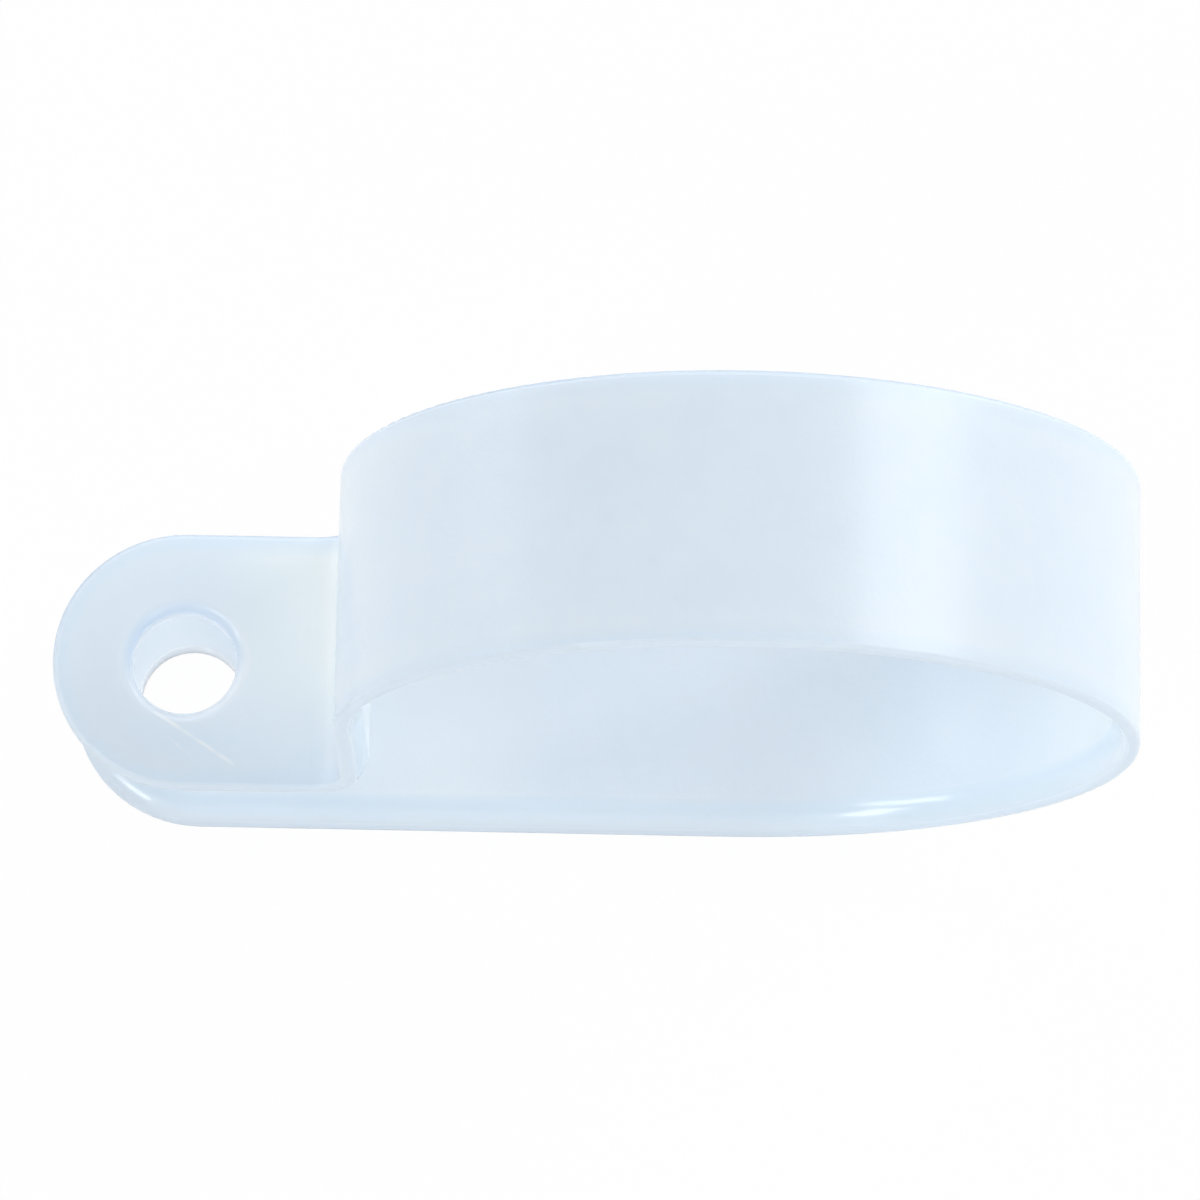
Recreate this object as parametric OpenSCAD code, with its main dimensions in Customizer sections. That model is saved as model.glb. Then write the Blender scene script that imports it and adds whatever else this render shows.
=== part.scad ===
// P-shaped cable clamp, moulded in one piece and shown open,
// as it is before its screw draws the tabs together.
// Origin: axis of the screw hole, on the underside.
// X runs along the base towards the loop, Y along the cable.

/* [Strap] */
// Width of the strap, along the cable
strap_width = 9.5; // [7:0.5:13]
// Thickness of the strap
strap_thickness = 1; // [0.8:0.05:1.6]
// How far in from each side the face towards the cable starts to curve away
inner_run = 1.2; // [0.6:0.1:2]
// Part of the thickness that this curve takes off at the very side
inner_share = 0.6; // [0.3:0.05:0.65]
// Rounding of the two edges on the outside
outer_edge = 0.2; // [0.1:0.05:0.25]

/* [Loop] */
// Inside diameter of the open loop
loop_bore = 26.2; // [20:0.2:34]

/* [Tabs] */
// Distance from the screw hole's axis to the outside of the upright wall
hole_to_wall = 5.85; // [4.5:0.05:8]
// Free space between the two tabs
tab_gap = 4.3; // [2:0.1:7]
// How far the lower tab's round end stands back from the upper one's
lower_setback = 0.4; // [0:0.1:1]
// Radius where the upright wall turns out into the upper tab
bend_radius = 1.2; // [0.4:0.1:1.6]

/* [Screw hole] */
// Diameter of the hole through both tabs
hole_diameter = 3.8; // [3:0.1:5]
// Rounding of the hole's upper edge
hole_edge = 0.5; // [0.1:0.05:0.6]

/* [Hidden] */
$fn = 96;
edge_fn = 32;
cut_margin = 1;
half_width = strap_width / 2;
inner_drop = inner_share * strap_thickness;
hole_r = hole_diameter / 2;
loop_r = loop_bore / 2 + strap_thickness;
loop_x = hole_to_wall + loop_r;
tab_top = tab_gap + 2 * strap_thickness;
bend_z = tab_top + bend_radius;

// What a curve takes off a square corner at the origin that opens towards +x and +y:
// the curve leaves the y axis gently at height run and ends on the x axis, drop away from the corner
module corner_waste(drop, run) {
    curve_r = (drop * drop + run * run) / (2 * drop);
    difference() {
        translate([-cut_margin, -cut_margin])
            square([drop + cut_margin, run + cut_margin]);
        translate([curve_r, run])
            circle(curve_r, $fn = edge_fn);
    }
}

// Section across the strap: x is the depth below the outer face, y runs across the width
module strap_section() {
    difference() {
        translate([0, -half_width])
            square([strap_thickness, strap_width]);
        for (side = [0, 1])
            mirror([0, side]) {
                translate([0, -half_width])
                    corner_waste(outer_edge, outer_edge);
                translate([strap_thickness, -half_width])
                    mirror([1, 0])
                        corner_waste(inner_drop, inner_run);
            }
    }
}

// Straight stretch of strap along X from the origin, outer face down
module straight(length) {
    translate([length, 0, 0])
        rotate([0, -90, 0])
            linear_extrude(length)
                strap_section();
}

// Curved stretch in the XZ plane, from straight below its centre and on towards +X
module curve(angle) {
    rotate([90, 0, 0])
        rotate([0, 0, -90])
            rotate_extrude(angle = angle)
                children();
}

// Flat tab along X, outer face down, with its round end about the origin
module tab(length) {
    straight(length);
    rotate([0, 0, 90])
        rotate_extrude(angle = 180)
            mirror([1, -1])
                intersection() {
                    strap_section();
                    square([strap_thickness, half_width]);
                }
}

// Base with the lower tab, and the loop that rises from it round to the upright wall
module base_and_loop() {
    translate([lower_setback, 0, 0])
        tab(loop_x - lower_setback);
    translate([loop_x, 0, loop_r])
        curve(270)
            translate([loop_r, 0])
                mirror([1, 0])
                    strap_section();
}

// Upright wall, the bend at its foot and the upper tab
module wall_and_tab() {
    translate([hole_to_wall, 0, bend_z])
        linear_extrude(loop_r - bend_z)
            strap_section();
    translate([hole_to_wall - bend_radius, 0, bend_z])
        curve(90)
            translate([bend_radius, 0])
                strap_section();
    translate([0, 0, tab_top])
        mirror([0, 0, 1])
            tab(hole_to_wall - bend_radius);
}

// Screw hole through both tabs, with its rounded upper edge
module screw_hole() {
    translate([0, 0, -cut_margin])
        cylinder(h = tab_top + 2 * cut_margin, r = hole_r);
    rotate_extrude()
        translate([hole_r, tab_top])
            mirror([0, 1])
                corner_waste(hole_edge, hole_edge);
}

module clamp() {
    color("aliceblue")
        difference() {
            union() {
                base_and_loop();
                wall_and_tab();
            }
            screw_hole();
        }
}

clamp();
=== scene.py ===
import math
from functools import reduce

import bpy
from mathutils import Euler, Matrix, Vector


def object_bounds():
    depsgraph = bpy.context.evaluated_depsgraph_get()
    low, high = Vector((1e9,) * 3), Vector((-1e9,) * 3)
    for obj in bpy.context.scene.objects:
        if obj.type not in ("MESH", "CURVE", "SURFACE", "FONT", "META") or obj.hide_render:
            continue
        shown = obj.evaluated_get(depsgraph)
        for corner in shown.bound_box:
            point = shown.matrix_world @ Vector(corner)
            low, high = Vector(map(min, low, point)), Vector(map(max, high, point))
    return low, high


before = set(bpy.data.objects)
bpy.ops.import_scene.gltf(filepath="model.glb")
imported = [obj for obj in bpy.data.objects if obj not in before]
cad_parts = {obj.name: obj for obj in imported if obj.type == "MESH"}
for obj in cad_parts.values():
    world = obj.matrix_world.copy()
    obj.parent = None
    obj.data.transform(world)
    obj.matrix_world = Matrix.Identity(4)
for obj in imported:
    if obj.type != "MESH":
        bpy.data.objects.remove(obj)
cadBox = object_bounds()
bpy.ops.object.select_all(action="DESELECT")
print("frame loaded:", ", ".join(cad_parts))

mm = 0.001


# a socket that can be added, subtracted and multiplied like a number
class Signal:
    def __init__(self, sheet, socket):
        self.sheet = sheet
        self.socket = socket

    def sum(self, operation, first, second=0.0):
        node = self.sheet.add("ShaderNodeMath", {"operation": operation}, {0: first, 1: second})
        return self.sheet.signal(node, "Value")

    def __add__(self, other):
        return self.sum("ADD", self, other)

    def __sub__(self, other):
        return self.sum("SUBTRACT", self, other)

    def __mul__(self, other):
        return self.sum("MULTIPLY", self, other)

    def __radd__(self, other):
        return self.sum("ADD", other, self)

    def __rsub__(self, other):
        return self.sum("SUBTRACT", other, self)

    def __rmul__(self, other):
        return self.sum("MULTIPLY", other, self)

    def __abs__(self):
        return self.sum("ABSOLUTE", self)

    def larger(self, other):
        return self.sum("MAXIMUM", self, other)

    # 0 below low, 1 above high, and a soft step between them
    def ramp(self, low, high):
        settings = {"interpolation_type": "SMOOTHSTEP"}
        sockets = {"Value": self, "From Min": low, "From Max": high}
        return self.sheet.signal(self.sheet.add("ShaderNodeMapRange", settings, sockets), "Result")


# the node tree of one material or of the world
class NodeSheet:
    def __init__(self, tree):
        self.tree = tree
        tree.nodes.clear()

    def add(self, kind, settings, sockets):
        node = self.tree.nodes.new(kind)
        for name, value in settings.items():
            setattr(node, name, value)
        for name, value in sockets.items():
            if isinstance(value, Signal):
                self.tree.links.new(value.socket, node.inputs[name])
            else:
                node.inputs[name].default_value = value
        return node

    def signal(self, node, output):
        return Signal(self, node.outputs[output])

    def parts(self, vector):
        node = self.add("ShaderNodeSeparateXYZ", {}, {"Vector": vector})
        return [self.signal(node, axis) for axis in "XYZ"]

    def noise(self, place, size, detail, roughness=0.55):
        sockets = {"Vector": place, "Scale": 1 / size, "Detail": detail, "Roughness": roughness}
        return self.signal(self.add("ShaderNodeTexNoise", {}, sockets), "Fac")

    # the mix node's own numbers for its colour sockets
    def mixColor(self, share, first, second):
        node = self.add("ShaderNodeMix", {"data_type": "RGBA"}, {0: share, 6: first, 7: second})
        return self.signal(node, 2)


noiseMiddle = 0.5

# a pair of numbers is where a soft step starts and where it ends
nylonLook = {
    "milk": (0.735, 0.822, 0.92, 1),  # the clearer, bluer resin
    "cloud": (0.765, 0.838, 0.92, 1),  # whiter clouding in it
    "cloudSize": 7 * mm,
    "cloudDetail": 3,
    "cloudShare": 0.7,  # the rest is a finer mottle
    "cloudSteps": (0.3, 0.7),
    "mottleSize": 1.1 * mm,
    "mottleDetail": 4,
    "grainSize": 0.22 * mm,  # fine texture left by the mould
    "grainDetail": 2,
    "grainDepth": 0.006 * mm,
    "bendPaintedLight": (0.865, 0.93, 1, 1),  # painted light: paler from the tab's middle to the bend, for light that comes through the wall
    "bendLightAlongTab": (-0.5 * mm, 5.8 * mm),  # along the tab, up the wall and from front to back
    "bendLightUpWall": (6.3 * mm, 11 * mm),
    "bendLightAcross": (-4.5 * mm, 0.5 * mm),
    "mouthPaintedLight": (0.8, 0.88, 0.98, 1),  # painted light: whiter inside the mouth, and across from it in the loop, lifting the shade on the inner faces
    "mouthEnd": (9 * mm, 14 * mm),
    "acrossMouth": (29.5 * mm, 33.5 * mm),
    "edge": (0.67, 0.785, 0.955, 1),  # painted shade: darker and bluer on the strap's sides, for light that comes from deeper in
    "edgeWidth": 1 * mm,
    "backRimPaintedShade": (0.46, 0.56, 0.7, 1),  # painted shade: thin darker line along the back
    "backRimSide": (-1 * mm, 3 * mm),
    "rimWidth": 0.2 * mm,
    "holeShade": (0.66, 0.765, 0.9, 1),  # the back of the hole's edge
    "holeShadeRadius": (1.95 * mm, 2.35 * mm),
    "holeShadeSide": (-1.5 * mm, 1 * mm),
    "curved": (0.715, 0.825, 0.985, 1),  # the inner face where it curves away to the sides
    "curvedDepths": (0.8 * mm, 1.35 * mm),
    "roughness": 0.24,
    "roughnessSpread": 0.08,
    "curvedRoughness": 0.15,  # the curved edges have no mould texture
    "sideRoughness": 0.35,  # added on the strap's sides
    "sideDepths": (0.02 * mm, 0.25 * mm),
    "refraction": 1.53,
    "glow": 0.75,  # how much light goes through the resin
    "glowReach": 1.2 * mm,
    "scratchColor": (0.88, 0.92, 0.95, 1),
    "scratchDepth": 0.01 * mm,
    "scratchRoughness": 0.2,
    "scratchTaper": 0.15,  # share of its length over which each end fades
    "scratchKept": 0.25,  # how much of a scratch shows where it is broken
    "scratchBreaks": (0.42, 0.56),
    "scratchBelow": (-0.1 * mm, -0.02 * mm),  # heights from the tab's top between which it shows
    "scratchAbove": (0.1 * mm, 0.2 * mm),
    # start, end and half width in mm on the upper tab, then how strongly it shows
    "scratches": [
        ((-1.25, -1.76), (2.1, -3.96), 0.05, 0.7),
        ((-0.55, -2.8), (0.5, -3.67), 0.045, 0.5),
        ((2.2, -1.92), (3.05, -2.83), 0.04, 0.3),
    ],
    "tabTop": 6.3 * mm,  # these three follow the clamp's own shape
    "lowerSetback": 0.4 * mm,
    "halfThickness": 0.5 * mm,
    "blur": 0.2 * mm,  # soft border between the strap's inner and outer half
}


# soft line between two points on the upper tab's top face
def scratchLine(x, y, scratch, taperShare):
    (startX, startY), (endX, endY), halfWidth, strength = scratch
    length = math.hypot(endX - startX, endY - startY) * mm
    alongX, alongY = (endX - startX) * mm / length, (endY - startY) * mm / length
    fromX, fromY = x - startX * mm, y - startY * mm
    along = fromX * alongX + fromY * alongY
    across = abs(fromX * alongY - fromY * alongX)
    taper = taperShare * length
    line = 1 - across.ramp(0, halfWidth * 2 * mm)
    return line * along.ramp(0, taper) * (1 - along.ramp(length - taper, length)) * strength


def nylonMaterial(look):
    material = bpy.data.materials.new("naturalNylon")
    material.use_nodes = True
    sheet = NodeSheet(material.node_tree)
    place = sheet.signal(sheet.add("ShaderNodeTexCoord", {}, {}), "Object")
    x, y, z = sheet.parts(place)

    # where the clamp's surfaces lie
    halfWidth = cadBox[1].y
    loopRadius = cadBox[1].z / 2
    loopX = cadBox[1].x - loopRadius
    wallX = loopX - loopRadius
    tabTop, half, blur = look["tabTop"], look["halfThickness"], look["blur"]

    clouding = sheet.noise(place, look["cloudSize"], look["cloudDetail"])
    mottle = sheet.noise(place, look["mottleSize"], look["mottleDetail"])
    grain = sheet.noise(place, look["grainSize"], look["grainDetail"])
    whiteness = clouding * look["cloudShare"] + mottle * (1 - look["cloudShare"])
    color = sheet.mixColor(whiteness.ramp(*look["cloudSteps"]), look["milk"], look["cloud"])

    # painted light: paler from the middle of the upper tab to the bend, and a little way up the
    # wall
    bendPaintedLight = x.ramp(*look["bendLightAlongTab"]) * (1 - x.ramp(wallX, wallX + 2 * half))
    bendPaintedLight = bendPaintedLight * z.ramp(tabTop - half, tabTop) * (1 - z.ramp(*look["bendLightUpWall"]))
    color = sheet.mixColor(bendPaintedLight * y.ramp(*look["bendLightAcross"]), color, look["bendPaintedLight"])

    # squared distance from the strap's middle line, and from the middle of each tab's round end
    endMiddle = (1 - z.ramp(2 * half, tabTop - 2 * half)) * look["lowerSetback"]
    pastEnd = (endMiddle - x).larger(0)
    fromMiddle = pastEnd * pastEnd + y * y

    # 1 on the strap's sides, down to 0 at a depth in from them
    def nearSide(outerDepth, innerDepth):
        return fromMiddle.ramp((halfWidth - innerDepth) ** 2, (halfWidth - outerDepth) ** 2)

    # the half of the strap that faces the cable, in the loop and then from the mouth to the wall
    fromAxisX, fromAxisZ = x - loopX, z - loopRadius
    fromAxis = fromAxisX * fromAxisX + fromAxisZ * fromAxisZ
    inLoop = 1 - fromAxis.ramp((loopRadius - half) ** 2, (loopRadius - half + blur) ** 2)
    belowTab = 1 - z.ramp(tabTop - half - blur, tabTop - half)
    behindWall = x.ramp(wallX + half, wallX + half + blur)
    inMouth = belowTab.larger(behindWall) * z.ramp(half - blur, half)
    inMouth = inMouth * (1 - z.ramp(loopRadius - blur, loopRadius))
    inMouth = inMouth * (1 - x.ramp(loopX - blur, loopX))
    inside = inLoop.larger(inMouth)

    # painted light: whiter on the inner faces near the mouth and across from it in the loop
    paintedLightZone = x.ramp(*look["acrossMouth"]).larger(1 - x.ramp(*look["mouthEnd"]))
    color = sheet.mixColor(inside * paintedLightZone, color, look["mouthPaintedLight"])

    # painted shade on the strap's sides, and in the lines along the back and round the back of the
    # hole
    color = sheet.mixColor(nearSide(0, look["edgeWidth"]), color, look["edge"])
    # painted shade: a thin darker line along the back rim
    atRim = nearSide(0, look["rimWidth"])
    color = sheet.mixColor(atRim * y.ramp(*look["backRimSide"]), color, look["backRimPaintedShade"])
    holeFrom, holeTo = look["holeShadeRadius"]
    holeShade = 1 - (x * x + y * y).ramp(holeFrom ** 2, holeTo ** 2)
    holeShade = holeShade * y.ramp(*look["holeShadeSide"])
    holeShade = holeShade * z.ramp(tabTop - 2 * half - blur, tabTop - 2 * half)
    color = sheet.mixColor(holeShade, color, look["holeShade"])

    aboveTab = z - tabTop
    onTab = aboveTab.ramp(*look["scratchBelow"]) * (1 - aboveTab.ramp(*look["scratchAbove"]))
    lines = [scratchLine(x, y, scratch, look["scratchTaper"]) for scratch in look["scratches"]]
    unbroken = look["scratchKept"] + (1 - look["scratchKept"]) * mottle.ramp(*look["scratchBreaks"])
    scratched = reduce(Signal.larger, lines) * onTab * unbroken
    color = sheet.mixColor(scratched, color, look["scratchColor"])

    # the curved inner edges are smooth, and the strap's sides are dull
    curved = inside * nearSide(*look["curvedDepths"])
    color = sheet.mixColor(curved * (1 - atRim), color, look["curved"])
    roughness = look["roughness"] + (mottle - noiseMiddle) * look["roughnessSpread"]
    roughness = roughness + curved * (look["curvedRoughness"] - look["roughness"])
    roughness = roughness + nearSide(*look["sideDepths"]) * look["sideRoughness"]
    roughness = roughness + scratched * look["scratchRoughness"]
    height = (grain - noiseMiddle) * (1 - curved) * look["grainDepth"]
    height = height - scratched * look["scratchDepth"]
    bump = sheet.add("ShaderNodeBump", {}, {"Strength": 1.0, "Distance": 1.0, "Height": height})
    shader = sheet.add("ShaderNodeBsdfPrincipled", {"subsurface_method": "RANDOM_WALK"}, {
        "Base Color": color,
        "Roughness": roughness,
        "IOR": look["refraction"],
        "Subsurface Weight": look["glow"],
        "Subsurface Radius": (1, 1, 1),
        "Subsurface Scale": look["glowReach"],
        "Normal": sheet.signal(bump, "Normal"),
    })
    sheet.add("ShaderNodeOutputMaterial", {}, {"Surface": sheet.signal(shader, "BSDF")})
    return material


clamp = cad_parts["clamp"]
nylon = nylonMaterial(nylonLook)
for slot in clamp.material_slots:
    slot.material = nylon
print("clamp dressed in natural nylon")


studio = {
    "floorSize": 4,
    "floorColor": (0.95, 0.95, 0.95, 1),
    "floorDrop": 0.02 * mm,  # so that the floor and the base don't share a plane
    "floorGlow": 0.97,  # share of plain white that the eye sees in the floor
    "skyLight": 0.175,
}


# 1 for what the camera sees, straight or in gloss and glass, 0 for light that falls on the object
def seenRays(sheet):
    path = sheet.add("ShaderNodeLightPath", {}, {})
    rays = [sheet.signal(path, f"Is {ray} Ray") for ray in ("Camera", "Glossy", "Transmission")]
    return reduce(Signal.larger, rays)


def layFloor(look):
    bpy.ops.mesh.primitive_plane_add(size=look["floorSize"], location=(0, 0, -look["floorDrop"]))
    floor = bpy.context.object
    floor.name = "studioFloor"
    material = bpy.data.materials.new("paleFloor")
    material.use_nodes = True
    sheet = NodeSheet(material.node_tree)
    matte = sheet.add("ShaderNodeBsdfDiffuse", {}, {"Color": look["floorColor"]})
    white = sheet.add("ShaderNodeEmission", {}, {"Strength": 1.0})
    seen = sheet.add("ShaderNodeMixShader", {}, {
        0: seenRays(sheet) * look["floorGlow"],
        1: sheet.signal(matte, "BSDF"),
        2: sheet.signal(white, "Emission"),
    })
    sheet.add("ShaderNodeOutputMaterial", {}, {"Surface": sheet.signal(seen, "Shader")})
    floor.data.materials.append(material)


def lightSky(look):
    world = bpy.data.worlds.new("studioSky")
    bpy.context.scene.world = world
    world.use_nodes = True
    sheet = NodeSheet(world.node_tree)
    seen = seenRays(sheet)
    strength = seen + (1 - seen) * look["skyLight"]
    sky = sheet.add("ShaderNodeBackground", {}, {"Color": (1, 1, 1, 1), "Strength": strength})
    sheet.add("ShaderNodeOutputWorld", {}, {"Surface": sheet.signal(sky, "Background")})


layFloor(studio)
lightSky(studio)
print("floor and sky set")


lamps = {
    "keyRight": {"towards": (0.72, 0.26, 0.64), "width": 0.18, "height": 0.2, "watts": 0.34},
    "farRight": {"towards": (0.69, 0.69, 0.21), "width": 0.36, "height": 0.22, "watts": 0.66},
    "back": {"towards": (0, 0.82, 0.57), "width": 0.3, "height": 0.2, "watts": 0.38},
    "backLeft": {"towards": (-0.69, 0.69, 0.21), "width": 0.42, "height": 0.22, "watts": 0.43},
    "left": {"towards": (-0.81, -0.17, 0.56), "width": 0.07, "height": 0.22, "watts": 0.25},
    "leftFront": {"towards": (-0.63, -0.52, 0.58), "width": 0.13, "height": 0.09, "watts": 0.22},
    "front": {"towards": (0, -0.82, 0.57), "width": 0.6, "height": 0.35, "watts": 0.62},
    "rightFront": {"towards": (0.69, -0.69, 0.21), "width": 0.22, "height": 0.22, "watts": 0.28},
}
lampDistance = 0.4
middle = (cadBox[0] + cadBox[1]) / 2

for lampName, lamp in lamps.items():
    away = Vector(lamp["towards"]).normalized()
    bpy.ops.object.light_add(type="AREA", location=middle + away * lampDistance)
    light = bpy.context.object
    light.name = lampName
    light.rotation_euler = away.to_track_quat("Z", "Y").to_euler()
    light.data.shape = "RECTANGLE"
    light.data.size = lamp["width"]
    light.data.size_y = lamp["height"]
    light.data.energy = lamp["watts"]
print("lamps set:", ", ".join(lamps))


cameraView = {
    "azimuth": 1.7075,
    "elevation": 74.9595,
    "roll": -0.5562,
    "distance": 251.5 * mm,
    "aim": Vector((15.1, 0, 15.763)) * mm,
    "lens": 216.1,
    "nearest": 10 * mm,
}
tilt = math.radians(90 - cameraView["elevation"])
turn = Euler((tilt, 0, math.radians(cameraView["azimuth"]))).to_matrix()
turn = turn @ Matrix.Rotation(math.radians(cameraView["roll"]), 3, "Z")
bpy.ops.object.camera_add(
    location=cameraView["aim"] + turn @ Vector((0, 0, cameraView["distance"])),
    rotation=turn.to_euler(),
)
camera = bpy.context.object
camera.data.lens = cameraView["lens"]
camera.data.clip_start = cameraView["nearest"]
bpy.context.scene.camera = camera
bpy.context.scene.view_settings.view_transform = "Standard"
print("camera set")
